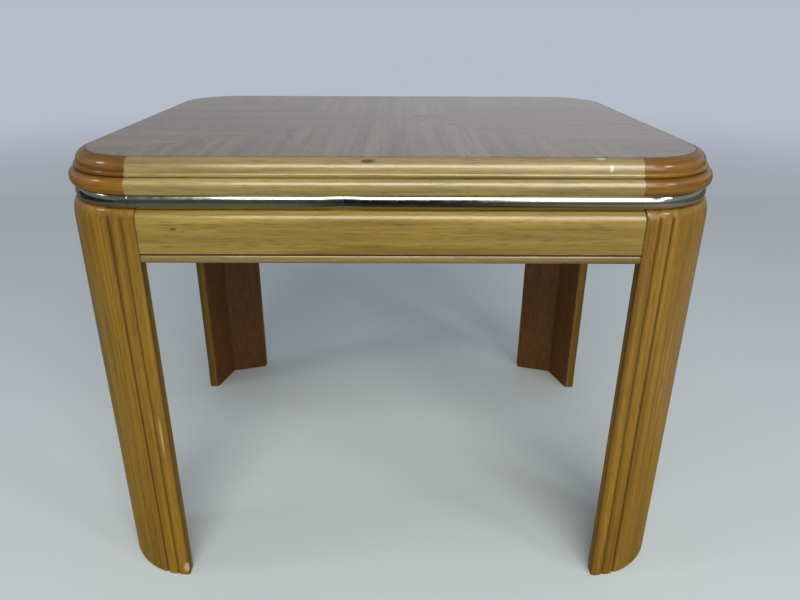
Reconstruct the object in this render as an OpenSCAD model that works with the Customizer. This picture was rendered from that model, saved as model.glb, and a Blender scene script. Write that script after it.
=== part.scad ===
// Low rectangular table: veneered top in a moulded oak rim, bright metal band,
// apron with a bottom bead, and four reeded corner legs.
// Millimetres. Origin on the floor under the middle of the top, front towards -Y, +Z up.

/* [Overall] */
// Width across the legs, left to right
table_w = 711; // [620:1:900]
// Depth across the legs, front to back
table_d = 552; // [500:1:760]
// Height of the top surface above the floor
table_h = 542; // [480:1:640]

/* [Top] */
// Height of the moulded rim
rim_h = 37; // [36:0.5:40]
// Inset of the veneer's edge from the leg faces
rim_w = 22; // [22:0.5:26]
// Radius of the quarter round along the upper edge
upper_r = 11.5; // [10:0.5:11.5]
// Inset of the upper edge's face from the leg faces
upper_inset = 10; // [9:0.5:10]
// Radius of the small reed in the middle of the rim
reed_r = 2.95; // [2:0.05:3.2]
// Radius of the half round along the lower edge
lower_r = 8.85; // [8:0.05:9]
// Thickness of the core board under the veneer
core_t = 19; // [16:0.5:19]
// Thickness of the veneer leaves
veneer_t = 0.8; // [0.6:0.1:1.5]

/* [Metal band] */
// Height of the gap that holds the band
band_gap = 14.5; // [14.5:0.5:18]
// Height of the band
band_h = 14; // [12:0.5:14]
// Inset of the band's face from the leg faces
band_inset = 5; // [4:0.5:6]
// How far the band stands out from the rails behind it
band_depth = 5.5; // [4:0.5:6]
// Distance of the front band's splice to the left of the middle
splice_x = 48; // [20:1:120]

/* [Apron] */
// Height of the apron board
apron_h = 47; // [44:1:60]
// Height of the bead under the apron
bead_h = 10.3; // [8:0.1:14]
// Thickness of the apron and its bead
apron_t = 18; // [16:0.5:20]
// Inset of the apron's face from the leg faces
apron_inset = 2; // [1:0.5:4]
// Radius along the top edge of the apron and of the legs
shoulder_r = 11; // [6:0.5:11]

/* [Legs] */
// Side of the square that a leg fills at its corner
leg_a = 95; // [90:1:105]
// Thickness of a leg at its two tips
leg_tip = 17; // [16:0.5:20]
// Distance of a leg's inner corner from the table's outer corner
leg_inner = 35; // [33:0.5:37]
// Width of each reed near a leg's tips
reed_pitch = 15; // [14:0.5:16]
// Depth of the grooves between the reeds
reed_depth = 2.5; // [1.5:0.1:2.5]

/* [Hidden] */
hx = table_w / 2;
hy = table_d / 2;
corner_r = leg_a;
rim_low = table_h - rim_h;
leg_top = rim_low - band_gap;
apron_low = leg_top - apron_h;
bead_low = apron_low - bead_h;
core_low = table_h - veneer_t - core_t;
band_back = band_inset + band_depth;
rail_w = 40;
cleat_w = 45;
span_x = table_w - 2 * leg_a;
span_y = table_d - 2 * leg_a;

// centre heights of the rim's three rounds
lower_z = rim_low + lower_r;
reed_z = rim_low + 2 * lower_r + reed_r;
upper_z = table_h - upper_r;

// half-round band: radius of the circle through its back edges and its crest
band_r = (pow(band_h / 2, 2) + pow(band_depth, 2)) / (2 * band_depth);
band_z = leg_top + band_gap / 2;

// corner block and fastenings, measured from the outer corner
block_low = apron_low + 3;
block_reach = 150;
screw_r = 2;
screw_head_r = 4;
screw_head_h = 3;
fit = 0.05;
dowel_r = 4;
dowel_l = 30;
pin_r = 0.75;
pin_l = 14;
pin_end_gap = 20;
apron_back = apron_inset + apron_t;
dowel_y = 9.5;
dowel_levels = [apron_low + 13, apron_low + 33];
block_screw_x = 118;
block_screw_l = 24;
block_screw_tip = apron_inset + 6;
block_screw_levels = [apron_low + 12, apron_low + 35];
top_screw_at = [78, 48];
top_screw_l = 50;
top_screw_low = core_low - 2 - top_screw_l;
rail_screw_inset = 38;
rail_screw_l = 27;
rail_screw_low = leg_top + 3;
rim_dowel_inset = 15;
rim_dowel_z = rim_low + 12;

OAK = "#A8802F";
OAK_CORNER = "#A5671F";
OAK_DARK = "#7A5A26";
VENEER = "#8F877C";
BOARD = "#C2A878";
METAL = "#D9DDDA";
STEEL = "#9EA2A5";

// places names: side is -1 left or 1 right, end is -1 front or 1 rear
CORNERS = [["front_left", -1, -1], ["front_right", 1, -1], ["rear_left", -1, 1], ["rear_right", 1, 1]];
SIDES = [["front", 0], ["rear", 180], ["left", -90], ["right", 90]];

$fn = 96;

// ---- placing ----

// origin at an outer corner, +X and +Y pointing into the table
module at_corner(side, end) {
    translate([side * hx, end * hy, 0])
        mirror([side > 0 ? 1 : 0, 0, 0])
            mirror([0, end > 0 ? 1 : 0, 0])
                children();
}

// origin at the middle of a side, +X along the side and +Y into the table
module at_side(turn) {
    rotate([0, 0, turn])
        translate([0, -side_out(turn), 0])
            children();
}

function side_out(turn) = abs(turn) == 90 ? hx : hy;
function side_span(turn) = abs(turn) == 90 ? span_y : span_x;

// a section drawn as (inset, height), run straight along X
module straight_run(length) {
    rotate([90, 0, 90])
        linear_extrude(length, center = true)
            children();
}

// a section drawn as (inset, height), run round the corner's quarter circle
module corner_run() {
    translate([corner_r, corner_r, 0])
        rotate([0, 0, 180])
            rotate_extrude(angle = 90)
                translate([corner_r, 0])
                    mirror([1, 0])
                        children();
}

// ---- sections ----

// rectangle from an inset inwards, with its two outer corners rounded
module nosed_section(inset, depth, low, high, r_low, r_high) {
    difference() {
        translate([inset, low])
            square([depth, high - low]);
        if (r_low > 0)
            translate([inset, low])
                outer_corner_cut(r_low);
        if (r_high > 0)
            translate([inset, high])
                mirror([0, 1])
                    outer_corner_cut(r_high);
    }
}

module outer_corner_cut(r) {
    difference() {
        translate([-1, -1])
            square(r + 1);
        translate([r, r])
            circle(r);
    }
}

// rim: quarter round above, small reed, half round below
module rim_section() {
    translate([upper_inset, rim_low])
        square([rim_w - upper_inset, upper_z - rim_low]);
    intersection() {
        translate([upper_inset + upper_r, upper_z])
            circle(upper_r);
        translate([upper_inset, rim_low])
            square([rim_w - upper_inset, rim_h]);
    }
    translate([upper_inset + upper_r, upper_z])
        square([rim_w - upper_inset - upper_r, upper_r]);
    translate([upper_inset, reed_z])
        circle(reed_r);
    translate([1 + lower_r, lower_z])
        circle(lower_r);
}

module band_section() {
    intersection() {
        translate([band_inset + band_r, band_z])
            circle(band_r);
        translate([0, leg_top])
            square([band_back, band_gap]);
    }
}

module rail_section() {
    translate([band_back, leg_top])
        square([rail_w, band_gap]);
}

module apron_section() {
    nosed_section(apron_inset, apron_t, apron_low, leg_top, 1, shoulder_r);
}

module bead_section() {
    nosed_section(apron_inset, apron_t, bead_low, apron_low, 3.5, 4);
}

// plan of a leg: quarter round with two reeds by each tip, and a wide inner angle
module leg_plan() {
    shoulder = 6;
    reed_round = (pow(reed_pitch / 2, 2) + pow(reed_depth, 2)) / (2 * reed_depth);
    step = 2 * asin(reed_pitch / 2 / corner_r);
    plain_from = 2 * step + asin(shoulder / corner_r);
    difference() {
        intersection() {
            square(leg_a);
            union() {
                translate([leg_a, leg_a])
                    circle(corner_r - reed_depth);
                for (flip = [0, 1])
                    mirror([flip, -flip])
                        for (spot = [[0.5 * step, reed_round], [1.5 * step, reed_round], [plain_from, shoulder]])
                            on_arc(spot[0], corner_r - spot[1])
                                circle(spot[1]);
                intersection() {
                    translate([leg_a, leg_a])
                        circle(corner_r);
                    plain_sector(plain_from);
                }
            }
        }
        polygon([
            [leg_inner, leg_inner],
            [leg_a, leg_tip],
            [leg_a + 1, leg_tip],
            [leg_a + 1, leg_a + 1],
            [leg_tip, leg_a + 1],
            [leg_tip, leg_a]
        ]);
    }
}

// a point on a circle about the leg's centre, turned from the tip on the front face
module on_arc(turn, r) {
    translate([leg_a - r * sin(turn), leg_a - r * cos(turn)])
        children();
}

module plain_sector(from) {
    far = 2 * corner_r;
    polygon([
        [leg_a, leg_a],
        [leg_a - far * sin(from), leg_a - far * cos(from)],
        [-far, -far],
        [leg_a - far * cos(from), leg_a - far * sin(from)]
    ]);
}

// plan of the top at an inset: rectangle with rounded corners
module top_plan(inset) {
    r = corner_r - inset;
    square([table_w - 2 * inset, table_d - 2 * corner_r], center = true);
    square([table_w - 2 * corner_r, table_d - 2 * inset], center = true);
    for (side = [-1, 1])
        for (end = [-1, 1])
            translate([side * (hx - corner_r), end * (hy - corner_r)])
                circle(r);
}

// ---- fastenings ----

module countersunk_screw(length) {
    cylinder(r = screw_r, h = length);
    cylinder(r = screw_head_r, h = screw_head_h);
}

// hole for a screw whose head sits at the origin, with a pocket behind the head
module screw_hole(length, pocket) {
    cylinder(r = screw_r + fit, h = length + fit);
    translate([0, 0, -pocket])
        cylinder(r = screw_head_r + fit, h = pocket + screw_head_h + fit);
}

module place_apron_dowels() {
    for (level = dowel_levels)
        translate([leg_a - dowel_l / 2, dowel_y, level])
            rotate([0, 90, 0])
                children();
}

// both tips of a leg
module both_tips() {
    for (flip = [0, 1])
        mirror([flip, -flip, 0])
            children();
}

module place_block_screws() {
    for (level = block_screw_levels)
        translate([block_screw_x, block_screw_tip + block_screw_l, level])
            rotate([90, 0, 0])
                children();
}

module place_top_screws() {
    translate([top_screw_at[0], top_screw_at[1], top_screw_low])
        children();
}

module place_rim_dowels() {
    translate([corner_r - dowel_l / 2, rim_dowel_inset, rim_dowel_z])
        rotate([0, 90, 0])
            children();
}

// screws up through a rail, spread evenly along it
module place_rail_screws(turn) {
    count = abs(turn) == 90 ? 2 : 3;
    gap = side_span(turn) / count;
    for (i = [0 : count - 1])
        translate([(i - (count - 1) / 2) * gap, rail_screw_inset, rail_screw_low])
            children();
}

// pins straight in through the band, given by their places along a side
module place_side_pins(places) {
    for (x = places)
        translate([x, band_inset + 0.3, band_z])
            rotate([-90, 0, 0])
                children();
}

module place_corner_pin() {
    reach = corner_r - band_inset - 0.3;
    translate([corner_r - reach * cos(45), corner_r - reach * sin(45), band_z])
        rotate([0, 0, -45])
            rotate([-90, 0, 0])
                children();
}

function pin_places(turn) =
    let (end = side_span(turn) / 2 - pin_end_gap)
    turn == 0 ? [-end, -splice_x - pin_end_gap, -splice_x + pin_end_gap, end] : [-end, end];

module dowel(clear = 0) {
    cylinder(r = dowel_r + clear, h = dowel_l + clear);
}

module pin_hole() {
    translate([0, 0, -band_depth])
        cylinder(r = pin_r + fit, h = pin_l + band_depth + fit);
}

// ---- the top ----

module top_core() {
    color(BOARD)
        translate([0, 0, core_low])
            linear_extrude(core_t)
                top_plan(rim_w);
}

// one mitred leaf: the part of the top between two corner lines and the middle
module veneer_leaf(turn) {
    along = side_span(turn) / 2 + corner_r - rim_w;
    deep = side_out(turn) - rim_w;
    color(VENEER)
        translate([0, 0, table_h - veneer_t])
            linear_extrude(veneer_t)
                intersection() {
                    top_plan(rim_w);
                    rotate(turn)
                        polygon([[0, 0], [-along, -deep], [along, -deep]]);
                }
}

module rim_length(turn) {
    color(OAK)
        difference() {
            at_side(turn)
                straight_run(side_span(turn))
                    rim_section();
            for (corner = CORNERS)
                at_corner(corner[1], corner[2])
                    both_tips()
                        place_rim_dowels()
                            dowel(fit);
        }
}

module rim_corner(side, end) {
    color(OAK_CORNER)
        at_corner(side, end)
            difference() {
                corner_run()
                    rim_section();
                both_tips()
                    place_rim_dowels()
                        dowel(fit);
            }
}

// strip under the core board, inside the rim
module cleat(turn) {
    // the side strips fit between the front and rear ones
    length = abs(turn) == 90 ? table_d - 2 * (rim_w + cleat_w) : table_w;
    color(BOARD)
        difference() {
            translate([0, 0, rim_low])
                linear_extrude(core_low - rim_low)
                    intersection() {
                        top_plan(rim_w);
                        rotate(turn)
                            translate([-length / 2, -side_out(turn) + rim_w])
                                square([length, cleat_w]);
                    }
            for (corner = CORNERS)
                at_corner(corner[1], corner[2])
                    both_tips()
                        place_top_screws()
                            screw_hole(top_screw_l, 0);
            at_side(turn)
                place_rail_screws(turn)
                    screw_hole(rail_screw_l, 0);
        }
}

// ---- rails behind the band ----

module rail(turn) {
    color(OAK_DARK)
        at_side(turn)
            difference() {
                straight_run(side_span(turn))
                    rail_section();
                place_rail_screws(turn)
                    screw_hole(rail_screw_l, screw_head_h + 1);
                place_side_pins(pin_places(turn))
                    pin_hole();
            }
}

// quarter disc that closes the rails at a corner
module rail_corner(side, end) {
    color(OAK_DARK)
        at_corner(side, end)
            difference() {
                translate([0, 0, leg_top])
                    linear_extrude(band_gap)
                        intersection() {
                            square(corner_r);
                            translate([corner_r, corner_r])
                                circle(corner_r - band_back);
                        }
                both_tips()
                    place_top_screws()
                        screw_hole(top_screw_l, 0);
                place_corner_pin()
                    pin_hole();
            }
}

// ---- metal band ----

// a straight length of band between two places along a side
module band_length(turn, from, to) {
    color(METAL)
        at_side(turn)
            difference() {
                translate([(from + to) / 2, 0, 0])
                    straight_run(to - from)
                        band_section();
                place_side_pins(pin_places(turn))
                    pin_hole();
            }
}

module band_corner(side, end) {
    color(METAL)
        at_corner(side, end)
            difference() {
                corner_run()
                    band_section();
                place_corner_pin()
                    pin_hole();
            }
}

// ---- apron ----

module apron(turn) {
    color(OAK)
        difference() {
            at_side(turn)
                straight_run(side_span(turn))
                    apron_section();
            for (corner = CORNERS)
                at_corner(corner[1], corner[2])
                    both_tips() {
                        place_apron_dowels()
                            dowel(fit);
                        place_block_screws()
                            screw_hole(block_screw_l, 0);
                    }
        }
}

module bead(turn) {
    color(OAK)
        at_side(turn)
            straight_run(side_span(turn))
                bead_section();
}

// ---- legs ----

module leg(side, end) {
    color(OAK_CORNER)
        at_corner(side, end)
            difference() {
                intersection() {
                    linear_extrude(leg_top)
                        leg_plan();
                    translate([leg_a, leg_a, 0])
                        rotate_extrude()
                            translate([corner_r, 0])
                                mirror([1, 0])
                                    nosed_section(0, corner_r, 0, leg_top, 2, shoulder_r);
                }
                both_tips()
                    place_apron_dowels()
                        dowel(fit);
            }
}

// block glued into the angle of a leg and against both aprons
module corner_block(side, end) {
    color(BOARD)
        at_corner(side, end)
            difference() {
                translate([0, 0, block_low])
                    linear_extrude(leg_top - block_low)
                        polygon([
                            [leg_inner, leg_inner],
                            [leg_a, leg_tip],
                            [leg_a, apron_back],
                            [block_reach - apron_back, apron_back],
                            [apron_back, block_reach - apron_back],
                            [apron_back, leg_a],
                            [leg_tip, leg_a]
                        ]);
                both_tips() {
                    place_block_screws()
                        screw_hole(block_screw_l, 20);
                    place_top_screws()
                        screw_hole(top_screw_l, 40);
                }
            }
}

// ---- fastenings in groups ----

module apron_dowels() {
    color(BOARD)
        for (corner = CORNERS)
            at_corner(corner[1], corner[2])
                both_tips()
                    place_apron_dowels()
                        dowel();
}

module rim_dowels() {
    color(BOARD)
        for (corner = CORNERS)
            at_corner(corner[1], corner[2])
                both_tips()
                    place_rim_dowels()
                        dowel();
}

module block_screws() {
    color(STEEL)
        for (corner = CORNERS)
            at_corner(corner[1], corner[2])
                both_tips()
                    place_block_screws()
                        countersunk_screw(block_screw_l);
}

module top_screws() {
    color(STEEL)
        for (corner = CORNERS)
            at_corner(corner[1], corner[2])
                both_tips()
                    place_top_screws()
                        countersunk_screw(top_screw_l);
}

module rail_screws() {
    color(STEEL)
        for (side = SIDES)
            at_side(side[1])
                place_rail_screws(side[1])
                    countersunk_screw(rail_screw_l);
}

module band_pins() {
    color(METAL) {
        for (side = SIDES)
            at_side(side[1])
                place_side_pins(pin_places(side[1]))
                    cylinder(r = pin_r, h = pin_l);
        for (corner = CORNERS)
            at_corner(corner[1], corner[2])
                place_corner_pin()
                    cylinder(r = pin_r, h = pin_l);
    }
}

// ---- nodes ----

top_core();
for (side = SIDES) {
    veneer_leaf(side[1]);
    rim_length(side[1]);
    cleat(side[1]);
    rail(side[1]);
    apron(side[1]);
    bead(side[1]);
}
for (corner = CORNERS) {
    rim_corner(corner[1], corner[2]);
    rail_corner(corner[1], corner[2]);
    band_corner(corner[1], corner[2]);
    leg(corner[1], corner[2]);
    corner_block(corner[1], corner[2]);
}
band_length(0, -span_x / 2, -splice_x - 0.1);  // band_front_short
band_length(0, -splice_x + 0.1, span_x / 2);  // band_front_long
band_length(180, -span_x / 2, span_x / 2);  // band_rear
band_length(-90, -span_y / 2, span_y / 2);  // band_left
band_length(90, -span_y / 2, span_y / 2);  // band_right
apron_dowels();
rim_dowels();
block_screws();
top_screws();
rail_screws();
band_pins();
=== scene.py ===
# Low oak table with a moulded rim, a bright metal band and reeded corner legs.
import math

import bmesh
import bpy
from mathutils import Matrix, Vector


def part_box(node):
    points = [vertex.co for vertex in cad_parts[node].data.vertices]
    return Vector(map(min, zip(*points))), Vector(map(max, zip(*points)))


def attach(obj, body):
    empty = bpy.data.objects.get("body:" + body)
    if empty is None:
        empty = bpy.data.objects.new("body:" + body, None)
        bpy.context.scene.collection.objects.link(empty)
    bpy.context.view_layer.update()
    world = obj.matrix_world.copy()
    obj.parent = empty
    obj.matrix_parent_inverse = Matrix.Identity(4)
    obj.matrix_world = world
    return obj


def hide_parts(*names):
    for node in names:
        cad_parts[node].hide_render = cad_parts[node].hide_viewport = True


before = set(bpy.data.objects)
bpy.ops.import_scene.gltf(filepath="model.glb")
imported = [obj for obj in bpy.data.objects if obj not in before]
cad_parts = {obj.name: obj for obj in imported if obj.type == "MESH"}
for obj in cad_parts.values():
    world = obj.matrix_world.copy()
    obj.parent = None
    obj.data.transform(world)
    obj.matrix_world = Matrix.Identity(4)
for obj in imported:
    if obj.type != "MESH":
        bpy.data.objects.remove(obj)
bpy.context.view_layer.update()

# ---- places, read from the frame ----

rim_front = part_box("rim_front")
rim_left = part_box("rim_left")
band_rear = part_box("band_rear")
apron_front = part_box("apron_front")
bead_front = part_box("bead_front")
leg_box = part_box("leg_front_left")

RIM_INSET = 0.001  # the rim's half round stands this far inside the leg faces
half_w = RIM_INSET - rim_left[0].x
half_d = RIM_INSET - rim_front[0].y
corner_r = half_w - rim_front[1].x
rim_w = half_d + rim_front[1].y  # how far the rim reaches in from the leg faces
rim_z = rim_front[0].z
top_z = rim_front[1].z
leg_top = leg_box[1].z

SIDES = {"front": 0, "rear": 180, "left": -90, "right": 90}
CORNERS = {
    "front_left": (-1, -1),
    "front_right": (1, -1),
    "rear_left": (-1, 1),
    "rear_right": (1, 1),
}


def side_out(turn):
    """Distance from the middle of the table to that side's leg faces."""
    return half_w if abs(turn) == 90 else half_d


def side_span(turn):
    """Length between two legs along that side."""
    return 2 * ((half_d if abs(turn) == 90 else half_w) - corner_r)


# ---- shaping ----

BEND_STEP = 3.2  # degrees between the rings of a curved corner
SEAM_SHIFT = 0.0065  # the joints along the front sit this far left of the leg tips
SEAM_TURN = math.degrees(SEAM_SHIFT / corner_r)
SAME_PLACE = 1e-6  # points nearer to each other than this are one
BOARD_STEP = (1.7, 0.31, 0.53)  # from one board's place in the figure to the next one's


def arc(centre, radius, start, end, steps):
    """Points round part of a circle, from one angle to another in degrees."""
    angles = [math.radians(start + (end - start) * i / steps) for i in range(steps + 1)]
    return [(centre[0] + radius * math.cos(a), centre[1] + radius * math.sin(a)) for a in angles]


def round_over(radius, bulge, steps):
    """How far a round falls back from its crest, at even steps from -bulge to bulge."""
    offsets = [bulge * (2 * i / steps - 1) for i in range(steps + 1)]
    return [(s, radius - math.sqrt(radius * radius - s * s)) for s in offsets]


def grow_run(section, straight, bend=0, lead=0):
    """A moulding: its section, drawn as (inset, height), drawn out along X and then round a
    corner to the left. The bend starts at X = 0, or some degrees further on."""
    bm = bmesh.new()
    centre = Vector((0, corner_r, 0))
    face = bm.faces.new([bm.verts.new((straight, inset, z)) for inset, z in section])
    bmesh.ops.rotate(
        bm, verts=face.verts, cent=centre, matrix=Matrix.Rotation(math.radians(-lead), 3, "Z")
    )
    if straight:
        drawn = bmesh.ops.extrude_face_region(bm, geom=[face])["geom"]
        face = next(g for g in drawn if isinstance(g, bmesh.types.BMFace))
        bmesh.ops.translate(bm, verts=face.verts, vec=(-straight, 0, 0))
    if bend:
        bmesh.ops.spin(
            bm,
            geom=[face, *face.edges, *face.verts],
            cent=centre,
            axis=(0, 0, -1),
            angle=math.radians(bend),
            steps=max(2, round(bend / BEND_STEP)),
        )
        if straight and face.is_valid:
            bmesh.ops.delete(bm, geom=[face], context="FACES_ONLY")
    return bm


def ease_ends(bm, size, segments=2):
    """Takes the sharp edge off where a moulding ends. Its long faces all have four corners,
    so a face with more is an end."""
    ends = [f for f in bm.faces if len(f.verts) > 4]
    bmesh.ops.bevel(
        bm, geom=list({e for f in ends for e in f.edges}), offset=size, affect="EDGES",
        segments=segments, profile=0.5, material=-1,
    )


def mark_grain(bm, start, along, painted_shade=None):
    """Keeps each point's place in its own board, so that the figure runs with the wood, and
    how much painted shade it takes, deep in a groove or on the rim's flat beside the veneer."""
    grain = bm.verts.layers.float_vector.new("grain")
    depth = bm.verts.layers.float.new("painted_shade")
    for v in bm.verts:
        v[grain] = start + Vector(along(v.co))
        v[depth] = painted_shade(v.co) if painted_shade else 0


def link_mesh(name, bm, material):
    """Makes a bmesh an object in the scene."""
    mesh = bpy.data.meshes.new(name)
    bm.to_mesh(mesh)
    bm.free()
    mesh.materials.append(material)
    thing = bpy.data.objects.new(name, mesh)
    bpy.context.scene.collection.objects.link(thing)
    return thing


def finish_piece(name, bm, material, nodes, sharp=32):
    """Makes the mesh a closed, smoothly shaded object that stands for its CAD nodes. Edges
    that turn by more than sharp degrees stay crisp."""
    bmesh.ops.remove_doubles(bm, verts=bm.verts, dist=SAME_PLACE)
    bmesh.ops.recalc_face_normals(bm, faces=bm.faces)
    if bm.calc_volume(signed=True) < 0:
        bmesh.ops.reverse_faces(bm, faces=bm.faces)
    piece = link_mesh(name, bm, material)
    piece.data.shade_smooth()
    piece.data.set_sharp_from_angle(angle=math.radians(sharp))
    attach(piece, "root")
    if nodes:
        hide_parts(*nodes)
    return piece


def put_on_side(bm, turn, shift=0):
    """Moves a board drawn along X, with Y as its inset, to a side of the table."""
    bmesh.ops.translate(bm, verts=bm.verts, vec=(shift, -side_out(turn), 0))
    bmesh.ops.rotate(bm, verts=bm.verts, matrix=Matrix.Rotation(math.radians(turn), 3, "Z"))


def put_in_corner(bm, side, end):
    """Moves a piece drawn from an outer corner inwards to a corner of the table."""
    if side > 0:
        bmesh.ops.scale(bm, verts=bm.verts, vec=(-1, 1, 1))
    if end > 0:
        bmesh.ops.scale(bm, verts=bm.verts, vec=(1, -1, 1))
    bmesh.ops.translate(bm, verts=bm.verts, vec=(side * half_w, end * half_d, 0))


_boards = iter(range(1000))


def next_board():
    """A fresh stretch of the figure for each board, so that no two are cut alike."""
    i = next(_boards)
    return Vector([step * i for step in BOARD_STEP])


def grow_corner(section, name):
    """The corner piece of a moulding, in the frame of its own outer corner. The two front
    ones take up the shift of the front's joints."""
    if name == "front_left":
        bm = grow_run(section, 0, 90 - SEAM_TURN, SEAM_TURN)
    else:
        bm = grow_run(section, SEAM_SHIFT if name == "front_right" else 0, 90)
    bmesh.ops.translate(bm, verts=bm.verts, vec=(corner_r, 0, 0))
    return bm


def bend_place(co):
    """Place along, into and up a curved corner, for its grain."""
    spoke = Vector((corner_r - co.x, corner_r - co.y))
    return (corner_r * math.atan2(spoke.x, spoke.y), corner_r - spoke.length, co.z)


# ---- finishes ----


def linear(hex_colour):
    """An sRGB hex colour as linear red, green, blue and alpha."""
    parts = [int(hex_colour[i:i + 2], 16) / 255 for i in (1, 3, 5)]
    return (*(p / 12.92 if p <= 0.04045 else ((p + 0.055) / 1.055) ** 2.4 for p in parts), 1)


def add_node(tree, kind, inputs=None, stops=None, **settings):
    """Adds a node with its settings, its input values or links, and a ramp's colours."""
    node = tree.nodes.new(kind)
    for name, value in settings.items():
        setattr(node, name, value)
    for socket, value in (inputs or {}).items():
        if isinstance(value, bpy.types.NodeSocket):
            tree.links.new(value, node.inputs[socket])
        else:
            node.inputs[socket].default_value = value
    for i, (position, colour) in enumerate(stops or []):
        ramp = node.color_ramp.elements
        element = ramp[i] if i < 2 else ramp.new(position)
        element.position, element.color = position, colour
    return node


def new_material(name):
    """A new material and its node tree, with nothing in it."""
    material = bpy.data.materials.new(name)
    material.use_nodes = True
    tree = material.node_tree
    tree.nodes.clear()
    return material, tree


def finish_material(tree, shader):
    """Gives a material its surface."""
    add_node(tree, "ShaderNodeOutputMaterial", {"Surface": shader.outputs[0]})


WHITE = (1, 1, 1, 1)
BLACK = (0, 0, 0, 1)
PORE_SIZE = (0.022, 0.0013)  # length and width of an open pore
PORE_SHADE = 0.45  # share of the dark bands' colour
PORE_STRENGTH = 0.55
PORE_ROUGHNESS = 0.14  # added where the lacquer sinks in
PORE_DEPTH = 0.0002
DRIFT_SIZE = (0.35, 0.06)  # length and width of a slow change of tone
# how much of the dark brown the deepest painted shade takes
PAINTED_SHADE_STRENGTH = 0.75
RAGGEDNESS = 0.0025  # grain of the edge of a mark
MARK_EDGE = (1.1, 1.7)  # where a mark fades, in half sizes from its place, noise added
GLUE_LINE = (0.0005, 0.0016)  # half width of its dark core and of its soft edge
GLUE_STRENGTH = 0.75
WAVE_SIZE = 0.02  # length of the waves in thin plated strip
DULL_SIZE = 0.006  # size of the patches that handling has dulled
DULL_ROUGHNESS = 0.12


def wood_figure(tree, place, pale, middle, dark, band=0.010, reach=0.28):
    """Colour of the wood and its pores: growth bands drawn out along the grain, a slow drift
    in tone, and open pores as long dark flecks. Real pores are 0.3 mm wide; here they are
    1.3 mm, as coarse as they need to be to show."""
    def stretched(along, across, detail, distortion=0.0):
        """Noise whose patches are this long and this wide."""
        scaled = add_node(
            tree, "ShaderNodeVectorMath",
            {0: place, 1: (1 / along, 1 / across, 1 / across)}, operation="MULTIPLY",
        )
        return add_node(
            tree, "ShaderNodeTexNoise",
            {"Vector": scaled.outputs[0], "Scale": 1.0, "Detail": detail,
             "Roughness": 0.6, "Distortion": distortion},
        ).outputs["Fac"]

    bands = add_node(
        tree, "ShaderNodeValToRGB", {"Fac": stretched(reach, band, 3.0, 0.6)},
        stops=[(0.30, linear(dark)), (0.72, linear(pale)), (0.5, linear(middle))],
    )
    drift = add_node(
        tree, "ShaderNodeValToRGB", {"Fac": stretched(*DRIFT_SIZE, 1.0)},
        stops=[(0.3, (0.80, 0.78, 0.74, 1)), (0.7, (1.14, 1.14, 1.12, 1))],
    )
    toned = add_node(
        tree, "ShaderNodeMix", {0: 1.0, 6: bands.outputs[0], 7: drift.outputs[0]},
        data_type="RGBA", blend_type="MULTIPLY",
    )
    pores = add_node(
        tree, "ShaderNodeValToRGB", {"Fac": stretched(*PORE_SIZE, 2.0)},
        stops=[(0.52, BLACK), (0.70, WHITE)],
    )
    colour = add_node(
        tree, "ShaderNodeMix",
        {0: pores.outputs[0], 6: toned.outputs[2],
         7: [c * PORE_SHADE for c in linear(dark)[:3]] + [1]},
        data_type="RGBA",
    )
    soft = add_node(
        tree, "ShaderNodeMix",
        {0: PORE_STRENGTH, 6: toned.outputs[2], 7: colour.outputs[2]},
        data_type="RGBA",
    )
    return soft.outputs[2], pores.outputs[0]


def add_marks(tree, colour, marks):
    """Knots, chips, worn spots and painted highlights, each a ragged patch of another colour about
    a place.
    """
    place = add_node(tree, "ShaderNodeTexCoord").outputs["Object"]
    ragged = add_node(
        tree, "ShaderNodeTexNoise",
        {"Vector": place, "Scale": 1 / RAGGEDNESS, "Detail": 2.0},
    )
    for centre, half_size, tint, strength in marks:
        away = add_node(tree, "ShaderNodeVectorMath", {0: place, 1: centre}, operation="SUBTRACT")
        shares = add_node(
            tree, "ShaderNodeVectorMath", {0: away.outputs[0], 1: half_size}, operation="DIVIDE"
        )
        length = add_node(tree, "ShaderNodeVectorMath", {0: shares.outputs[0]}, operation="LENGTH")
        edge = add_node(
            tree, "ShaderNodeMath", {0: length.outputs["Value"], 1: ragged.outputs["Fac"]},
            operation="ADD",
        )
        mask = add_node(
            tree, "ShaderNodeMapRange",
            {"Value": edge.outputs[0], "From Min": MARK_EDGE[0], "From Max": MARK_EDGE[1],
             "To Min": strength, "To Max": 0.0},
        )
        colour = add_node(
            tree, "ShaderNodeMix", {0: mask.outputs[0], 6: colour, 7: linear(tint)},
            data_type="RGBA",
        ).outputs[2]
    return colour


def add_painted_shade(tree, colour):
    """Painted shade: darkens each point by the share kept on it, in grooves and on the rim's flat.
    """
    depth = add_node(tree, "ShaderNodeAttribute", attribute_name="painted_shade")
    share = add_node(
        tree, "ShaderNodeMath", {0: depth.outputs["Fac"], 1: PAINTED_SHADE_STRENGTH},
        operation="MULTIPLY",
    )
    # the dark brown of the painted shade
    return add_node(
        tree, "ShaderNodeMix", {0: share.outputs[0], 6: colour, 7: linear("#3B2A08")},
        data_type="RGBA",
    ).outputs[2]


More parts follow.
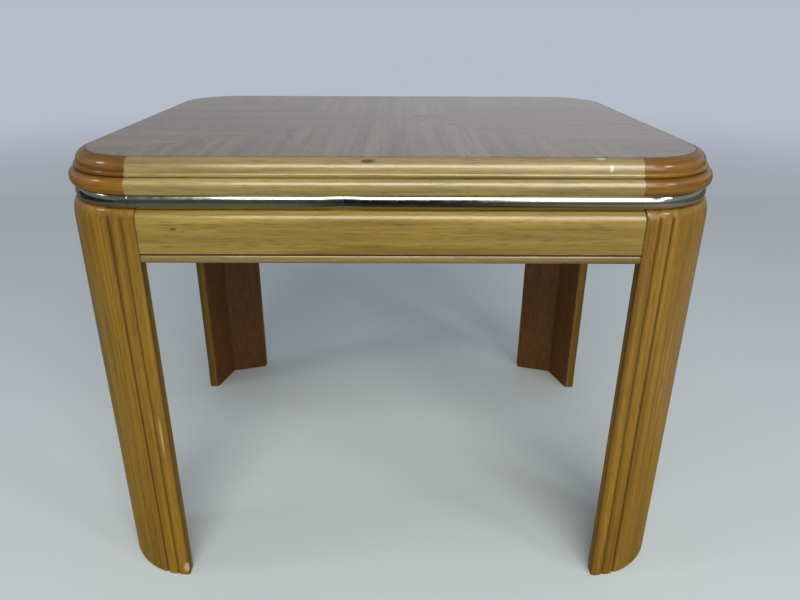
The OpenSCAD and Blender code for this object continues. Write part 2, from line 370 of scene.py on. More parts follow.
def lacquered_wood(name, place_kind, pale, middle, dark, roughness=0.44, coat=0.55,
                   coat_roughness=0.1, specular=0.8, turn=None, glue_line=False, marks=(),
                   **figure):
    """Oak under clear lacquer: the lacquer gives an even soft shine over the figure, and
    sinks a little into the open pores. A turned figure also starts at another place, so that
    crossing leaves of veneer aren't alike."""
    material, tree = new_material(name)
    if place_kind == "grain":
        place = add_node(tree, "ShaderNodeAttribute", attribute_name="grain").outputs["Vector"]
    else:
        place = add_node(tree, "ShaderNodeTexCoord").outputs["Object"]
    figured = place
    if turn is not None:
        figured = add_node(
            tree, "ShaderNodeMapping",
            {"Vector": place, "Rotation": (0, 0, math.radians(turn)),
             "Location": (turn * 0.01, 0.3 + turn * 0.02, 0)},
        ).outputs[0]
    colour, pores = wood_figure(tree, figured, pale, middle, dark, **figure)
    if glue_line:
        colour = add_glue_lines(tree, place, colour)
    # painted shade in the grooves of the legs and on the rim's flat beside the veneer
    if place_kind == "grain":
        colour = add_painted_shade(tree, colour)
    if marks:
        colour = add_marks(tree, colour, marks)
    roughened = add_node(
        tree, "ShaderNodeMapRange",
        {"Value": pores, "To Min": roughness, "To Max": roughness + PORE_ROUGHNESS},
    )
    sunk = add_node(
        tree, "ShaderNodeBump",
        {"Height": pores, "Strength": 0.25, "Distance": PORE_DEPTH},
        invert=True,
    )
    shader = add_node(
        tree, "ShaderNodeBsdfPrincipled",
        {"Base Color": colour, "Roughness": roughened.outputs[0], "IOR": 1.5,
         "Specular IOR Level": specular, "Coat Weight": coat, "Coat Roughness": coat_roughness,
         "Normal": sunk.outputs[0]},
    )
    finish_material(tree, shader)
    return material


def add_glue_lines(tree, place, colour):
    """Dark hairlines where the four veneer leaves meet, from the corners to the middle."""
    slope = math.atan2(half_d - rim_w, half_w - rim_w)
    split = add_node(tree, "ShaderNodeSeparateXYZ", {0: place})
    shares = []
    for axis, weight in ((0, math.sin(slope)), (1, math.cos(slope))):
        size = add_node(tree, "ShaderNodeMath", {0: split.outputs[axis]}, operation="ABSOLUTE")
        shares.append(add_node(
            tree, "ShaderNodeMath", {0: size.outputs[0], 1: weight}, operation="MULTIPLY"
        ).outputs[0])
    apart = add_node(
        tree, "ShaderNodeMath", {0: shares[1], 1: shares[0]}, operation="SUBTRACT"
    )
    apart = add_node(tree, "ShaderNodeMath", {0: apart.outputs[0]}, operation="ABSOLUTE")
    line = add_node(
        tree, "ShaderNodeMapRange",
        {"Value": apart.outputs[0], "From Min": GLUE_LINE[0], "From Max": GLUE_LINE[1],
         "To Min": GLUE_STRENGTH, "To Max": 0.0},
    )
    return add_node(
        tree, "ShaderNodeMix", {0: line.outputs[0], 6: colour, 7: linear("#2E2217")},
        data_type="RGBA",
    ).outputs[2]


def plain_wood(name, pale, dark, roughness):
    """Wood, board or paint without lacquer: dull, with a faint figure of flecks about 4 mm
    wide and 20 mm long."""
    material, tree = new_material(name)
    place = add_node(tree, "ShaderNodeTexCoord").outputs["Object"]
    scaled = add_node(
        tree, "ShaderNodeVectorMath", {0: place, 1: (60, 60, 12)}, operation="MULTIPLY"
    )
    figure = add_node(
        tree, "ShaderNodeTexNoise", {"Vector": scaled.outputs[0], "Scale": 4.0, "Detail": 5.0}
    )
    colour = add_node(
        tree, "ShaderNodeValToRGB", {"Fac": figure.outputs["Fac"]},
        stops=[(0.3, linear(dark)), (0.7, linear(pale))],
    )
    rough = add_node(
        tree, "ShaderNodeBump",
        {"Height": figure.outputs["Fac"], "Strength": 0.3, "Distance": 0.0003},
    )
    shader = add_node(
        tree, "ShaderNodeBsdfPrincipled",
        {"Base Color": colour.outputs[0], "Roughness": roughness, "Normal": rough.outputs[0]},
    )
    finish_material(tree, shader)
    return material


def polished_metal(name, colour, roughness, waviness):
    """Plated metal: a mirror that is a little uneven, and dulled in patches by handling."""
    material, tree = new_material(name)
    place = add_node(tree, "ShaderNodeTexCoord").outputs["Object"]
    waves = add_node(
        tree, "ShaderNodeTexNoise", {"Vector": place, "Scale": 1 / WAVE_SIZE, "Detail": 1.0}
    )
    dull = add_node(
        tree, "ShaderNodeTexNoise", {"Vector": place, "Scale": 1 / DULL_SIZE, "Detail": 4.0}
    )
    roughened = add_node(
        tree, "ShaderNodeMapRange",
        {"Value": dull.outputs["Fac"], "From Min": 0.4, "From Max": 0.75,
         "To Min": roughness, "To Max": roughness + DULL_ROUGHNESS},
    )
    uneven = add_node(
        tree, "ShaderNodeBump",
        {"Height": waves.outputs["Fac"], "Strength": waviness, "Distance": 0.001},
    )
    shader = add_node(
        tree, "ShaderNodeBsdfPrincipled",
        {"Base Color": linear(colour), "Metallic": 1.0, "Roughness": roughened.outputs[0],
         "Normal": uneven.outputs[0]},
    )
    finish_material(tree, shader)
    return material


# ---- the rim ----

UPPER_FACE = 0.010  # how far the upper round stands back from the leg faces
UPPER_R = 0.0128
UPPER_START = 100  # degrees; the round begins just past its crest
REED_R = 0.00295
LOWER_R = 0.00885
LOWER_DEPTH = 0.0065  # the half round is flattened to this depth
EDGE_CHAMFER = 0.0009
RIM_DROP = 0.0001  # the rim's flat lies this far below the veneer
RIM_END_EASE = 0.0002
# the most painted shade on the rim's flat beside the veneer
RIM_TOP_SHADE_STRENGTH = 0.34
SHADE_LINE_LOW, SHADE_LINE_HIGH = 0.0012, 0.0004  # depths below the veneer of the dark strip that paints the groove's shade


def rim_section():
    """Quarter round above, a small reed, and a flattened half round below, from the inside
    round."""
    lower_z = rim_z + LOWER_R
    reed_z = rim_z + 2 * LOWER_R + REED_R
    return [
        (rim_w, rim_z),
        (rim_w, top_z - EDGE_CHAMFER),
        (rim_w - EDGE_CHAMFER, top_z - RIM_DROP),
        *arc((UPPER_FACE + UPPER_R, top_z - UPPER_R), UPPER_R, UPPER_START, 180, 14),
        *arc((UPPER_FACE, reed_z), REED_R, 90, 270, 10),
        *[(RIM_INSET + LOWER_DEPTH * (1 + across), lower_z + LOWER_R * up)
          for across, up in arc((0, 0), 1, 90, 270, 20)],
    ]


def rim_top_shade(co):
    """Painted shade: the flat beside the veneer faces up, gets little light, and is darkened down
    to where the round turns.
    """
    return RIM_TOP_SHADE_STRENGTH * min(1, max(0, (co.z - (top_z - UPPER_R / 2)) / (UPPER_R / 3)))


def make_rim(oak, orange):
    """Four straight lengths and four corners. The front length runs on a little way into its
    left corner."""
    section = rim_section()
    for name, turn in SIDES.items():
        span = side_span(turn)
        if name == "front":
            bm = grow_run(section, span - SEAM_SHIFT, SEAM_TURN)
        else:
            bm = grow_run(section, span)
        ease_ends(bm, RIM_END_EASE, 1)
        # the flat beside the veneer takes painted shade
        mark_grain(bm, next_board(), lambda co: (co.x, co.y, co.z), rim_top_shade)
        put_on_side(bm, turn, -span / 2)
        finish_piece(f"oak_rim_{name}", bm, oak, [f"rim_{name}"])
    for name, (side, end) in CORNERS.items():
        bm = grow_corner(section, name)
        ease_ends(bm, RIM_END_EASE, 1)
        # the flat beside the veneer takes painted shade
        mark_grain(bm, next_board(), bend_place, rim_top_shade)
        put_in_corner(bm, side, end)
        finish_piece(f"oak_rim_corner_{name}", bm, orange, [f"rim_corner_{name}"])


def make_joint_shade_line(joint_and_shade):
    """A dark strip in the narrow groove between the veneer and the rim, all the way round: painted
    shade of the groove.
    """
    inner, outer = rim_w, rim_w - EDGE_CHAMFER
    low, high = top_z - SHADE_LINE_LOW, top_z - SHADE_LINE_HIGH
    section = [(inner, low), (inner, high), (outer, high), (outer, low)]
    ring = bmesh.new()
    for turn in SIDES.values():
        bm = grow_run(section, side_span(turn))
        put_on_side(bm, turn, -side_span(turn) / 2)
        join_in(ring, bm)
    for side, end in CORNERS.values():
        bm = grow_run(section, 0, 90)
        bmesh.ops.translate(bm, verts=bm.verts, vec=(corner_r, 0, 0))
        put_in_corner(bm, side, end)
        join_in(ring, bm)
    bmesh.ops.remove_doubles(ring, verts=ring.verts, dist=SAME_PLACE)
    drop_inside_faces(ring)
    finish_piece("veneer_joint_shade_line", ring, joint_and_shade, [])


def join_in(whole, part):
    """Adds one bmesh to another."""
    mesh = bpy.data.meshes.new("part")
    part.to_mesh(mesh)
    part.free()
    whole.from_mesh(mesh)
    bpy.data.meshes.remove(mesh)


def drop_inside_faces(bm):
    """Where two lengths have been merged, the end face left between them goes."""
    inside = [f for f in bm.faces if all(len(e.link_faces) > 2 for e in f.edges)]
    bmesh.ops.delete(bm, geom=inside, context="FACES_ONLY")


# ---- the metal band ----

BAND_BULGE = 0.0023
BAND_END_EASE = 0.0004
TIGHT_END_EASE = 0.00015  # where two lengths meet closely
SPLICE_REACH = 0.025
SPLICE_TWIST = 7  # degrees
SPLICE_INSET = 0.008  # the strip twists about a line this far in
SPLICE_CUTS = 40


def band_section():
    """Bowed strip whose edges turn straight back to the rail behind it."""
    low, high = band_rear[0].z, band_rear[1].z
    back = half_d - band_rear[0].y
    face = half_d - band_rear[1].y
    half = (high - low) / 2
    radius = (half * half + BAND_BULGE * BAND_BULGE) / (2 * BAND_BULGE)
    reach = math.degrees(math.asin(half / radius))
    bow = arc((face + radius, (low + high) / 2), radius, 180 - reach, 180 + reach, 16)
    return [(back, high), *bow, (back, low)]


def twist_at_splice(bm, end, middle_z):
    """The strip has sprung a little at its free end: its face leans down there."""
    long_edges = [e for e in bm.edges if abs(e.verts[0].co.x - e.verts[1].co.x) > SPLICE_REACH]
    bmesh.ops.subdivide_edges(bm, edges=long_edges, cuts=SPLICE_CUTS, use_grid_fill=True)
    for v in bm.verts:
        share = max(0, 1 - abs(v.co.x - end) / SPLICE_REACH)
        turn = math.radians(SPLICE_TWIST * share)
        up, deep = v.co.z - middle_z, v.co.y - SPLICE_INSET
        v.co.z = middle_z + up * math.cos(turn) + deep * math.sin(turn)
        v.co.y = SPLICE_INSET + deep * math.cos(turn) - up * math.sin(turn)


def make_band(bright):
    """Five straight lengths, two of them along the front with a splice between, and four
    corners."""
    section = band_section()
    middle_z = (band_rear[0].z + band_rear[1].z) / 2
    for length_name in ("rear", "left", "right", "front_short", "front_long"):
        node = f"band_{length_name}"
        low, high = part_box(node)
        turn = SIDES[length_name.split("_")[0]]
        along = 1 if abs(turn) == 90 else 0
        length = high[along] - low[along]
        if node == "band_front_short":
            bm = grow_run(section, length, SEAM_TURN)
        else:
            bm = grow_run(section, length - (SEAM_SHIFT if node == "band_front_long" else 0))
        ease_ends(bm, TIGHT_END_EASE if node == "band_front_long" else BAND_END_EASE)
        if turn == 0:
            twist_at_splice(bm, length if node == "band_front_short" else 0, middle_z)
        put_on_side(bm, turn, low.x if turn == 0 else -length / 2)
        finish_piece(f"bright_{node}", bm, bright, [node], sharp=20)
    for name, (side, end) in CORNERS.items():
        bm = grow_corner(section, name)
        ease_ends(bm, TIGHT_END_EASE if name == "front_right" else BAND_END_EASE)
        put_in_corner(bm, side, end)
        finish_piece(f"bright_band_corner_{name}", bm, bright,
                     [f"band_corner_{name}"], sharp=20)


# ---- apron and bead ----

APRON_R = 0.0126
APRON_FOOT_R = 0.001
APRON_END_EASE = 0.0006
BEAD_UPPER_R = 0.004
BEAD_LOWER_R = 0.0035
SEAM_SHADE_LOW, SEAM_SHADE_HIGH = 0.0012, 0.0006  # a dark strip that paints the seam's shade, from the bead's top down and up
SEAM_SHADE_INSET = 0.0002
JOINT_HALF = 0.0006  # half the width of the dark joint by a leg
JOINT_INSET = 0.0003
JOINT_CLEAR = 0.0001  # between the joints and the seam
JOINT_RISE = 0.002  # the joint starts this far above the bead's foot


def add_box(bm, low, high):
    """A small box between two corners."""
    low, high = Vector(low), Vector(high)
    size = Matrix.Diagonal((*(high - low), 1))
    bmesh.ops.create_cube(bm, size=1, matrix=Matrix.Translation((low + high) / 2) @ size)


def make_aprons(golden, brown_oak, joint_and_shade):
    """A board with a rounded top edge and a bead below it on each side, a dark strip between
    the two that paints the seam's shade, and dark joints beside the legs."""
    face = half_d + apron_front[0].y
    back = half_d + apron_front[1].y
    low, high = apron_front[0].z, apron_front[1].z
    apron = [
        (back, low), (back, high),
        *arc((face + APRON_R, high - APRON_R), APRON_R, 90, 180, 12),
        *arc((face + APRON_FOOT_R, low + APRON_FOOT_R), APRON_FOOT_R, 180, 270, 5),
    ]
    bead_low, bead_high = bead_front[0].z, bead_front[1].z
    bead = [
        (back, bead_low), (back, bead_high),
        *arc((face + BEAD_UPPER_R, bead_high - BEAD_UPPER_R), BEAD_UPPER_R, 90, 180, 8),
        *arc((face + BEAD_LOWER_R, bead_low + BEAD_LOWER_R), BEAD_LOWER_R, 180, 270, 7),
    ]
    for name, turn in SIDES.items():
        span = side_span(turn)
        bm = bmesh.new()
        # a dark strip along the seam under the apron: painted shade
        add_box(bm, (0, face + SEAM_SHADE_INSET, bead_high - SEAM_SHADE_LOW),
                (span, back, bead_high + SEAM_SHADE_HIGH))
        # dark joints beside the legs
        for end in (0, span):
            for foot, head in ((bead_low + JOINT_RISE, bead_high - SEAM_SHADE_LOW - JOINT_CLEAR),
                               (bead_high + SEAM_SHADE_HIGH + JOINT_CLEAR, high - APRON_R)):
                add_box(bm, (end - JOINT_HALF, face + JOINT_INSET, foot),
                        (end + JOINT_HALF, face + BEAD_UPPER_R, head))
        put_on_side(bm, turn, -span / 2)
        finish_piece(f"apron_joints_{name}", bm, joint_and_shade, [])
    for part, section, oak in (("apron", apron, golden), ("bead", bead, brown_oak)):
        for name, turn in SIDES.items():
            bm = grow_run(section, side_span(turn))
            ease_ends(bm, APRON_END_EASE)
            mark_grain(bm, next_board(), lambda co: (co.x, co.y, co.z))
            put_on_side(bm, turn, -side_span(turn) / 2)
            finish_piece(f"oak_{part}_{name}", bm, oak, [f"{part}_{name}"], sharp=20)


# ---- legs ----

LEG_TIP = 0.017  # thickness at each tip
LEG_INNER = 0.035  # from the outer corner's faces to the inner angle
REED_PITCH = 0.015
REED_DEPTH = 0.0025
REED_STEPS = 10
GROOVE_R = 0.006  # the plain round turns into the last groove with this
PLAIN_STEPS = 20
SHOULDER_RISE = 0.020
SHOULDER_FALL = 0.006
SHOULDER_STEPS = 12
FOOT_R = 0.002
FOOT_TOP = 0.006  # keeps the foot's shading from running up the leg
TIP_EASE = 0.0025


def leg_outline():
    """Plan of a leg from its front tip round the outside to its side tip and back inside:
    a quarter round with two reeds by each tip, and a wide angle within."""
    reed_round = (REED_PITCH**2 / 4 + REED_DEPTH**2) / (2 * REED_DEPTH)
    step = 2 * math.degrees(math.asin(REED_PITCH / 2 / corner_r))
    reach = math.sqrt(GROOVE_R**2 - (GROOVE_R - REED_DEPTH) ** 2)
    plain = 2 * step + math.degrees(GROOVE_R / corner_r)
    falls = []
    for i in range(2):
        falls += [(step * (i + 0.5) + math.degrees(s / corner_r), fall)
                  for s, fall in round_over(reed_round, REED_PITCH / 2, REED_STEPS)[:-1]]
    falls.append((2 * step, REED_DEPTH))
    falls += [(plain + math.degrees(s / corner_r), fall)
              for s, fall in round_over(GROOVE_R, reach, REED_STEPS)[:REED_STEPS // 2 + 1]]
    falls += [(plain + (90 - 2 * plain) * i / PLAIN_STEPS, 0)
              for i in range(1, PLAIN_STEPS // 2)]
    half = [f for f in falls if f[0] < 45]
    both = half + [(45, 0)] + [(90 - turn, fall) for turn, fall in reversed(half)]
    outside = []
    for turn, fall in both:
        spoke = corner_r - fall
        angle = math.radians(turn)
        outside.append((corner_r - spoke * math.sin(angle), corner_r - spoke * math.cos(angle)))
    return outside, [(LEG_TIP, corner_r), (LEG_INNER, LEG_INNER), (corner_r, LEG_TIP)]


def leg_levels():
    """Heights up a leg, each with how far its outer round is worn back there."""
    foot = [(z, FOOT_R - math.sqrt(FOOT_R**2 - (FOOT_R - z) ** 2)) for z in (0, 0.0006, FOOT_R)]
    foot.append((FOOT_TOP, 0))
    start = leg_top - SHOULDER_RISE
    angles = [math.radians(90 * i / SHOULDER_STEPS) for i in range(SHOULDER_STEPS + 1)]
    shoulder = [(start + SHOULDER_RISE * math.sin(a), SHOULDER_FALL * (1 - math.cos(a)))
                for a in angles]
    return foot + [(start * share, 0) for share in (0.25, 0.5, 0.75)] + shoulder


def groove_shade(co):
    """Painted shade: 0 on the crest of a reed and 1 in the bottom of the groove beside it."""
    fall = corner_r - Vector((co.x - corner_r, co.y - corner_r)).length
    upright = co.z < leg_top - SHOULDER_RISE / 3
    return max(0, fall / REED_DEPTH) ** 3 if upright and fall < 1.1 * REED_DEPTH else 0


def faces_inwards(face):
    """The two long faces of a leg's inner angle: upright, slanted in plan, and well inside
    the outer round."""
    normal, middle = face.normal, face.calc_center_median()
    slanted = max(abs(normal.x), abs(normal.y)) < 0.99 and abs(normal.z) < 0.5
    reach = Vector((middle.x - corner_r, middle.y - corner_r)).length
    return slanted and reach < corner_r - 0.005


def make_legs(oak, inner_painted_shade):
    """Four posts, each raised level by level from its plan, with its inner angle in a darker brown
    that paints its shade.
    """
    outside, inside = leg_outline()
    levels = leg_levels()
    for name, (side, end) in CORNERS.items():
        bm = bmesh.new()
        level = bm.faces.new([bm.verts.new((x, y, 0)) for x, y in outside + inside])
        for (low, _), (high, _) in zip(levels, levels[1:]):
            drawn = bmesh.ops.extrude_face_region(bm, geom=[level])["geom"]
            if low > 0:
                bmesh.ops.delete(bm, geom=[level], context="FACES_ONLY")
            level = next(g for g in drawn if isinstance(g, bmesh.types.BMFace))
            bmesh.ops.translate(bm, verts=level.verts, vec=(0, 0, high - low))
        soften_upright_edges(bm, inside)
        wear_back(bm, levels)
        # the grooves take painted shade by their depth
        mark_grain(
            bm, next_board(), lambda co: (co.z, co.x - co.y, co.x + co.y), groove_shade
        )
        # the inner angle takes the darker brown of the painted shade
        for face in bm.faces:
            face.material_index = 1 if faces_inwards(face) else 0
        put_in_corner(bm, side, end)
        leg = finish_piece(f"oak_leg_{name}", bm, oak, [f"leg_{name}"], sharp=40)
        leg.data.materials.append(inner_painted_shade)


def wear_back(bm, levels):
    """Draws in every point that stands outside the worn round at its height."""
    for v in bm.verts:
        fall = min(levels, key=lambda level: abs(level[0] - v.co.z))[1]
        spoke = Vector((v.co.x - corner_r, v.co.y - corner_r))
        if spoke.length > corner_r - fall:
            spoke *= (corner_r - fall) / spoke.length
            v.co.x, v.co.y = corner_r + spoke.x, corner_r + spoke.y


def soften_upright_edges(bm, inside):
    """Rounds the upright edges of the two tips and of the inner angle."""
    def stands_at(edge, place):
        """Whether both ends of an edge are at a place in plan."""
        return all((v.co.xy - Vector(place)).length < 10 * SAME_PLACE for v in edge.verts)

    edges = [e for e in bm.edges if any(stands_at(e, place) for place in inside)]
    bmesh.ops.bevel(
        bm, geom=edges, offset=TIP_EASE, affect="EDGES", segments=4, profile=0.5, material=-1
    )


# ---- CAD pieces that keep their shape ----


def dress(nodes, material):
    """Gives CAD nodes their finish."""
    for node in nodes:
        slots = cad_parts[node].data.materials
        slots.clear()
        slots.append(material)


# ---- camera, light, floor ----

CARD_AWAY = 1.6  # from the middle of the table to the standing cards
CARD_HIGH = 0.6
NEAR_TABLE = (0.55, 0.75)  # the floor card is tan within this far, and room tones beyond
FLOOR_R = 9
FLOOR_FADE = (1.0, 4.5)  # the floor turns to air between these distances
HORIZON = "#CCD3E2"
AIR_STRENGTH = 0.78
DIM_AIR = 0.6  # share of that strength, high up on the left


def make_camera():
    """Standing in front of the table and looking down on it."""
    data = bpy.data.cameras.new("camera")
    data.sensor_width = 36
    data.lens = 28.87
    data.shift_x = 0.0061
    data.shift_y = -0.027
    camera = bpy.data.objects.new("camera", data)
    camera.location = (0.0033, -0.8988, 0.6756)
    pitch, yaw, roll = 22.46, -0.13, 0.2
    camera.matrix_world = (
        Matrix.Translation(camera.location)
        @ Matrix.Rotation(math.radians(yaw), 4, "Z")
        @ Matrix.Rotation(math.radians(90 - pitch), 4, "X")
        @ Matrix.Rotation(math.radians(roll), 4, "Z")
    )
    bpy.context.scene.collection.objects.link(camera)
    bpy.context.scene.camera = camera


def make_light(name, place, aim, size, watts, colour, shine_only=False):
    """A soft box at a place, turned to face a point. One that is shine_only is seen in the
    lacquer and metal, and doesn't light dull surfaces."""
    data = bpy.data.lights.new(name, "AREA")
    data.shape = "RECTANGLE"
    data.size, data.size_y = size
    data.energy = watts
    data.color = linear(colour)[:3]
    lamp = bpy.data.objects.new(name, data)
    lamp.location = place
    lamp.visible_diffuse = not shine_only
    lamp.rotation_euler = (Vector(aim) - Vector(place)).to_track_quat("-Z", "Y").to_euler()
    bpy.context.scene.collection.objects.link(lamp)


def card_paint():
    """Dull paint in the tones of a dim room, from grey-green at the left past near black to
    brown at the right, so that a mirror bright strip isn't even along its length."""
    material, tree = new_material("dull_card_paint")
    place = add_node(tree, "ShaderNodeAttribute", attribute_name="grain").outputs["Vector"]
    across = add_node(tree, "ShaderNodeSeparateXYZ", {0: place}).outputs[0]
    uneven = add_node(tree, "ShaderNodeTexNoise", {"Vector": place, "Scale": 2.2, "Detail": 3.0})
    shifted = add_node(
        tree, "ShaderNodeMath", {0: uneven.outputs["Fac"], 1: 0.5, 2: across},
        operation="MULTIPLY_ADD",
    )
    share = add_node(
        tree, "ShaderNodeMapRange",
        {"Value": shifted.outputs[0], "From Min": -CARD_AWAY / 2, "From Max": CARD_AWAY},
    )
    tones = add_node(
        tree, "ShaderNodeValToRGB", {"Fac": share.outputs[0]},
        stops=[(0.0, linear("#70785F")), (0.9, linear("#BCA493")), (0.31, linear("#78806C")),
               (0.37, linear("#141A17")), (0.52, linear("#1A1B19")), (0.62, linear("#8F7C6E"))],
    )
    away = add_node(tree, "ShaderNodeVectorMath", {0: place}, operation="LENGTH")
    near = add_node(
        tree, "ShaderNodeMapRange",
        {"Value": away.outputs["Value"], "From Min": NEAR_TABLE[0], "From Max": NEAR_TABLE[1],
         "To Min": 1.0, "To Max": 0.0},
    )
    tones = add_node(
        tree, "ShaderNodeMix",
        {0: near.outputs[0], 6: tones.outputs[0], 7: linear("#A58A4C")}, data_type="RGBA",
    )
    shader = add_node(
        tree, "ShaderNodeBsdfPrincipled", {"Base Color": tones.outputs[2], "Roughness": 0.9}
    )
    finish_material(tree, shader)
    return material


def make_card(name, middle, size, paint, tilt=90, turn=0):
    """A card out of the camera's sight: only what shines shows it, so that bright metal and
    lacquer have a room to mirror. It is drawn flat, tilted, and then turned round the table."""
    bm = bmesh.new()
    bmesh.ops.create_grid(bm, x_segments=1, y_segments=1, size=0.5)
    bmesh.ops.scale(bm, verts=bm.verts, vec=(size[0], size[1], 1))
    bmesh.ops.rotate(bm, verts=bm.verts, matrix=Matrix.Rotation(math.radians(tilt), 3, "X"))
    bmesh.ops.translate(bm, verts=bm.verts, vec=middle)
    mark_grain(bm, Vector(), lambda co: (co.x, co.y, co.z))
    bmesh.ops.rotate(bm, verts=bm.verts, matrix=Matrix.Rotation(math.radians(turn), 3, "Z"))
    card = link_mesh(name, bm, paint)
    card.visible_camera = False
    card.visible_diffuse = False
    card.visible_shadow = False


def make_cards():
    """A dim room for the shine: dark below the camera, paler at the back and sides, and plum
    beside the left end."""
    room = card_paint()
    pale = plain_wood("pale_card_paint", "#9A9A82", "#7C7D6A", 0.9)
    plum = plain_wood("plum_card_paint", "#40384A", "#221E2A", 0.9)
    make_card("front_card", (-0.65, -CARD_AWAY, 0.45), (1.9, 0.9), room)
    make_card("front_low_card", (0.95, -CARD_AWAY, 0.28), (1.3, 0.56), room)
    for side in ("rear", "left", "right"):
        make_card(f"{side}_card", (0, -CARD_AWAY, CARD_HIGH / 2), (2 * CARD_AWAY, CARD_HIGH),
                  pale, turn=SIDES[side])
    make_card("left_near_card", (0.575, -CARD_AWAY + 0.02, CARD_HIGH / 2), (2.05, CARD_HIGH),
              plum, turn=SIDES["left"])
    make_card("floor_card", (0, 0, 0.002), (2 * CARD_AWAY, 2 * CARD_AWAY), room, tilt=0)


def floor_paint():
    """Matt pale paint that fades into the studio's air from a few metres out."""
    material, tree = new_material("painted_floor")
    place = add_node(tree, "ShaderNodeTexCoord").outputs["Object"]
    away = add_node(tree, "ShaderNodeVectorMath", {0: place}, operation="LENGTH")
    share = add_node(
        tree, "ShaderNodeMapRange",
        {"Value": away.outputs["Value"], "From Min": FLOOR_FADE[0], "From Max": FLOOR_FADE[1]},
        interpolation_type="SMOOTHSTEP",
    )
    paint = add_node(
        tree, "ShaderNodeBsdfPrincipled", {"Base Color": linear("#D9E5EC"), "Roughness": 0.6}
    )
    air = add_node(
        tree, "ShaderNodeEmission", {"Color": linear(HORIZON), "Strength": AIR_STRENGTH}
    )
    faded = add_node(
        tree, "ShaderNodeMixShader", {0: share.outputs[0], 1: paint.outputs[0], 2: air.outputs[0]}
    )
    finish_material(tree, faded)
    return material


def make_floor():
    """A round floor, wide enough for its edge to have faded into the air."""
    bm = bmesh.new()
    bmesh.ops.create_circle(bm, cap_ends=True, segments=96, radius=FLOOR_R)
    link_mesh("floor", bm, floor_paint())


def make_air():
    """An even light from all round, greyer higher up and dimmer high up on the left."""
    world = bpy.data.worlds.new("studio_air")
    world.use_nodes = True
    tree = world.node_tree
    direction = add_node(tree, "ShaderNodeTexCoord").outputs["Generated"]
    parts = add_node(tree, "ShaderNodeSeparateXYZ", {0: direction})
    air = add_node(
        tree, "ShaderNodeValToRGB", {"Fac": parts.outputs[2]},
        stops=[(0.0, linear(HORIZON)), (1.0, linear("#70777F")), (0.09, linear("#C9C9D0")),
               (0.35, linear("#B6B7BF"))],
    )
    rightwards = add_node(
        tree, "ShaderNodeMapRange", {"Value": parts.outputs[0], "From Min": -0.5, "From Max": 0.1}
    )
    low_down = add_node(
        tree, "ShaderNodeMapRange",
        {"Value": parts.outputs[2], "From Min": 0.05, "From Max": 0.16,
         "To Min": 1.0, "To Max": 0.0},
    )
    share = add_node(
        tree, "ShaderNodeMath", {0: rightwards.outputs[0], 1: low_down.outputs[0]},
        operation="MAXIMUM",
    )
    strength = add_node(
        tree, "ShaderNodeMapRange",
        {"Value": share.outputs[0], "To Min": DIM_AIR * AIR_STRENGTH, "To Max": AIR_STRENGTH},
    )
    backdrop = tree.nodes["Background"]
    tree.links.new(air.outputs[0], backdrop.inputs[0])
    tree.links.new(strength.outputs[0], backdrop.inputs[1])
    bpy.context.scene.world = world


def make_studio():
    """A large window box behind the camera, four weaker boxes, and a room to mirror."""
    make_light("window_box", (0.3, -2.5, 2.25), (0, 0, 0.4), (2.6, 1.3), 70, "#FFFBEA")
    make_light("low_box", (1.25, -2.3, 1.2), (0, 0, 0.45), (1.5, 0.8), 10, "#FFF6EC",
               shine_only=True)
    make_light("left_box", (-2.6, -0.7, 1.9), (0, 0, 0.4), (0.5, 0.5), 8, "#FFFFFF")
    make_light("right_box", (2.2, -1.7, 1.9), (0, 0, 0.4), (0.5, 0.5), 9, "#FFFFFF")
    make_light("ceiling_box", (0, 0.3, 2.8), (0, 0, 0.3), (3.0, 3.0), 9, "#F4F8FF")
    make_cards()
    make_air()
    make_floor()
    bpy.context.scene.view_settings.view_transform = "Standard"


# ---- put together ----

# marks: the place of each, half its size, its colour and its strength
apron_marks = [  # a knot, and a faint darker figure
    ((-0.2225, -0.2740, 0.4710), (0.0035, 0.003, 0.0022), "#4A3416", 0.75),
    ((0.2114, -0.2740, 0.4739), (0.0085, 0.003, 0.0030), "#6E5214", 0.45),
]
rim_marks = [  # a dark spot, and two pale scratches
    ((-0.0225, -0.2615, 0.5390), (0.0075, 0.003, 0.0026), "#2A200E", 0.9),
    ((0.2110, -0.2580, 0.5410), (0.0055, 0.002, 0.0015), "#E2D9C4", 0.5),
    ((0.2210, -0.2660, 0.5330), (0.0022, 0.003, 0.0042), "#E8DFCC", 0.6),
]
leg_chip_and_glint = [  # a chip at the foot, and a pale streak on a reed: a painted highlight
    ((-0.2625, -0.2750, 0.0130), (0.0040, 0.004, 0.0070), "#D3C3A6", 0.6),
    # a painted highlight, where the lacquer on a reed's crest catches the light
    ((-0.2679, -0.2760, 0.2170), (0.0014, 0.004, 0.0260), "#D8B98C", 0.45),
]
top_marks = [  # a pale speck
    ((-0.2100, -0.1680, 0.5420), (0.0020, 0.0012, 0.002), "#E4E2DC", 0.9),
]

# aprons: golden oak, flat boards whose lacquer gives one broad soft highlight
golden = lacquered_wood(
    "golden_oak_lacquered", "grain", "#A78E42", "#947B30", "#7A611E", coat=0.8,
    coat_roughness=0.16, specular=0.5, marks=apron_marks,
)
# straight rim: the palest oak under the fullest lacquer, with long highlights on its rounds
pale_oak = lacquered_wood(
    "pale_oak_lacquered", "grain", "#AC985C", "#9A854A", "#806B36", coat=1.0,
    coat_roughness=0.16, marks=rim_marks,
)
# beads: a thinner lacquer over a duller brown
brown_oak = lacquered_wood("brown_oak_lacquered", "grain", "#96804A", "#846C38", "#685424")
# legs: a deeper yellow with a fine upright figure, and less shine
leg_oak = lacquered_wood(
    "yellow_oak_lacquered", "grain", "#9A761C", "#8A6711", "#705009", coat=0.6, specular=0.35,
    band=0.006, marks=leg_chip_and_glint,
)
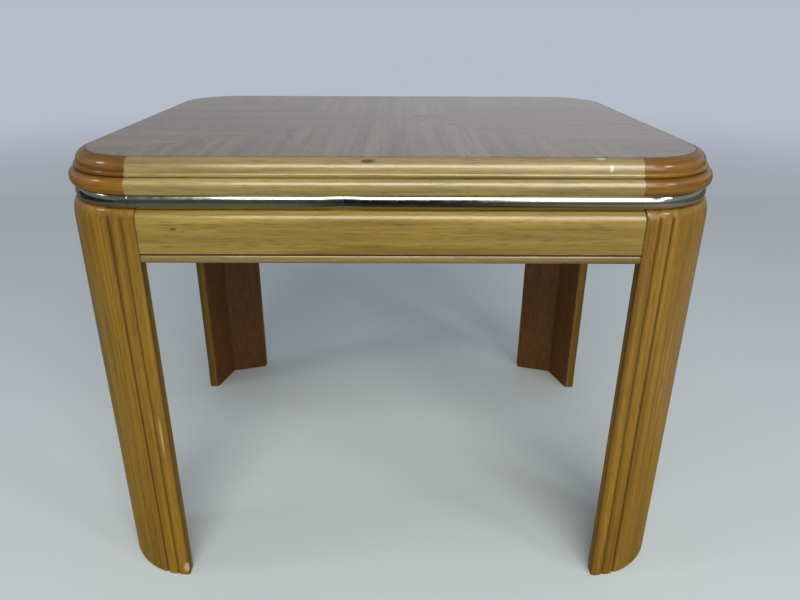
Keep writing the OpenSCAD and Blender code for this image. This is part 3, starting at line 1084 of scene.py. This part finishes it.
# rim corners: curved pieces whose cut grain takes the stain up to a warm orange
orange = lacquered_wood(
    "orange_oak_lacquered", "grain", "#96690A", "#805604", "#603D02", coat=0.65, specular=0.3,
    coat_roughness=0.14,
)
# inside of the legs: a darker brown as painted shade, with no lacquer, almost without shine
inner_painted_shade = plain_wood("inner_shade_brown_oak", "#6E4410", "#523208", 0.5)
# veneer: brown oak greyed to paint the room's pale sheen, and sanded smoother than the mouldings,
# so it mirrors the room
veneer_look = dict(
    pale="#8C785D", middle="#746045", dark="#4D3B22", roughness=0.22, coat=0.8,
    glue_line=True, band=0.014, reach=0.5,
)
veneer_along_x = lacquered_wood("oak_veneer_grain_across", "object", turn=0, **veneer_look)
veneer_along_y = lacquered_wood(
    "oak_veneer_grain_front_to_back", "object", turn=90, marks=top_marks, **veneer_look
)
# hidden parts: stained rails, raw softwood, board and dowels, all dull
dark_oak = plain_wood("stained_oak", "#6E522D", "#4A3519", 0.5)
raw_pine = plain_wood("raw_pine", "#C9AB77", "#A98855", 0.75)
raw_board = plain_wood("particleboard", "#B79C6C", "#8B7248", 0.85)
raw_birch = plain_wood("birch_dowel", "#D2BA8E", "#B99E70", 0.7)
# dark paint: the joints beside the legs, and painted shade in the seams under the aprons and round
# the veneer
dark_joint_and_shade = plain_wood("dark_joint_and_painted_shade", "#3A2A17", "#241809", 0.6)
# band: bright plating over steel, almost a mirror
bright = polished_metal("bright_plated_band", "#A9ABA2", 0.10, 0.06)
# screws: zinc plating, grey with a blurred shine
zinc = polished_metal("zinc_plated_screw", "#A7ABAE", 0.35, 0.1)

make_camera()
make_studio()
make_rim(pale_oak, orange)
# painted shade in the groove round the veneer
make_joint_shade_line(dark_joint_and_shade)
make_band(bright)
make_aprons(golden, brown_oak, dark_joint_and_shade)
make_legs(leg_oak, inner_painted_shade)

dress(["veneer_left", "veneer_right"], veneer_along_x)
dress(["veneer_front", "veneer_rear"], veneer_along_y)
dress(["top_core"], raw_board)
dress([f"cleat_{side}" for side in SIDES], raw_pine)
dress([f"corner_block_{corner}" for corner in CORNERS], raw_pine)
dress([f"rail_{side}" for side in SIDES], dark_oak)
dress([f"rail_corner_{corner}" for corner in CORNERS], dark_oak)
dress(["apron_dowels", "rim_dowels"], raw_birch)
dress(["block_screws", "top_screws", "rail_screws"], zinc)
dress(["band_pins"], bright)
